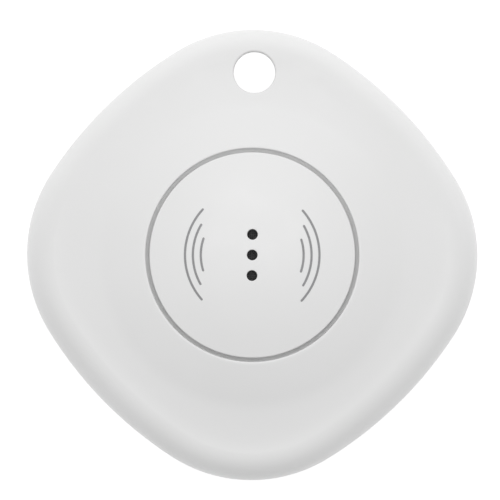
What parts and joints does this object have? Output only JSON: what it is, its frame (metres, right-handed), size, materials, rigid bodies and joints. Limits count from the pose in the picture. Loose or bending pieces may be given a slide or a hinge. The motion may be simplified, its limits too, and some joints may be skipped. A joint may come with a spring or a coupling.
{
  "type": "bluetooth tracker tag",
  "caption": "Rounded-diamond key-finder tag with a keyring hole, a round push button with sound holes and a twist-off battery door.",
  "frame": {"origin": "middle of the back, on the plane that the tag rests on", "axes": "+Z out of the front face, +Y towards the keyring hole, +X to the right when the front is seen with the hole up"},
  "size_m": [0.04, 0.04, 0.0091],
  "materials": {
    "shell_plastic": "fine satin texture",
    "button_plastic": "fine satin texture",
    "door_plastic": "fine satin texture",
    "acoustic_mesh": "black woven mesh",
    "silicone": "soft matt silicone",
    "seal_rubber": "smooth rubber",
    "carrier_plastic": "moulded, matt",
    "adhesive": "tacky film",
    "brass_sheet": "rolled sheet",
    "piezo_ceramic": "fired ceramic with a silver print",
    "gold_plating": "thin plating on spring sheet",
    "board_laminate": "green solder mask",
    "chip_plastic": "moulded, matt",
    "bright_steel": "stamped sheet",
    "antenna_ceramic": "glazed ceramic",
    "ferrite": "pressed ferrite",
    "capacitor_ceramic": "glazed ceramic",
    "polyimide_film": "thin amber film",
    "stem_plastic": "moulded",
    "cell_steel": "nickel-plated sheet",
    "cathode_powder": "pressed powder",
    "separator_felt": "thin felt",
    "lithium": "soft metal disc",
    "cell_nylon": "moulded"
  },
  "bodies": {
    "housing": {"front_shell": "shell_plastic", "rear_shell": "shell_plastic", "button_gasket": "silicone", "sounder_carrier": "carrier_plastic", "sounder_adhesive_ring": "adhesive", "sounder_diaphragm": "brass_sheet", "sounder_ceramic": "piezo_ceramic", "ceramic_contact_spring": "gold_plating", "diaphragm_contact_spring": "gold_plating", "circuit_board": "board_laminate", "radio_chip": "chip_plastic", "crystal": "bright_steel", "chip_antenna": "antenna_ceramic", "power_inductor": "ferrite", "capacitors": "capacitor_ceramic", "resistors": "chip_plastic", "insulating_film": "polyimide_film", "switch_base": "chip_plastic", "switch_dome": "bright_steel", "switch_cover": "bright_steel", "negative_contact": "gold_plating", "positive_contact": "gold_plating", "battery_cradle": "carrier_plastic", "cell_can": "cell_steel", "cell_cathode": "cathode_powder", "cell_separator": "separator_felt", "cell_anode": "lithium", "cell_gasket": "cell_nylon", "cell_cap": "cell_steel"},
    "button": {"button_cap": "button_plastic", "acoustic_mesh": "acoustic_mesh"},
    "switch_stem": {"switch_stem": "stem_plastic"},
    "door": {"battery_door": "door_plastic", "door_seal": "seal_rubber"}
  },
  "joints": [
    {"name": "button_press", "type": "slide", "parent": "housing", "child": "button", "axis": [0, 0, -1], "range_m": [0, 0.0002], "stiffness_N_per_m": 800, "springref_m": -0.001, "deforming": ["button_gasket"]},
    {"name": "switch_stem_press", "type": "slide", "parent": "housing", "child": "switch_stem", "axis": [0, 0, -1], "range_m": [0, 0.0002], "deforming": ["switch_dome"]},
    {"name": "door_turn", "type": "hinge", "parent": "housing", "child": "door", "pos_m": [0, 0, 0], "axis": [0, 0, -1], "range_deg": [0, 35]}
  ],
  "couplings": [
    {"joint": "switch_stem_press", "follows": "button_press", "ratio": 1}
  ]
}
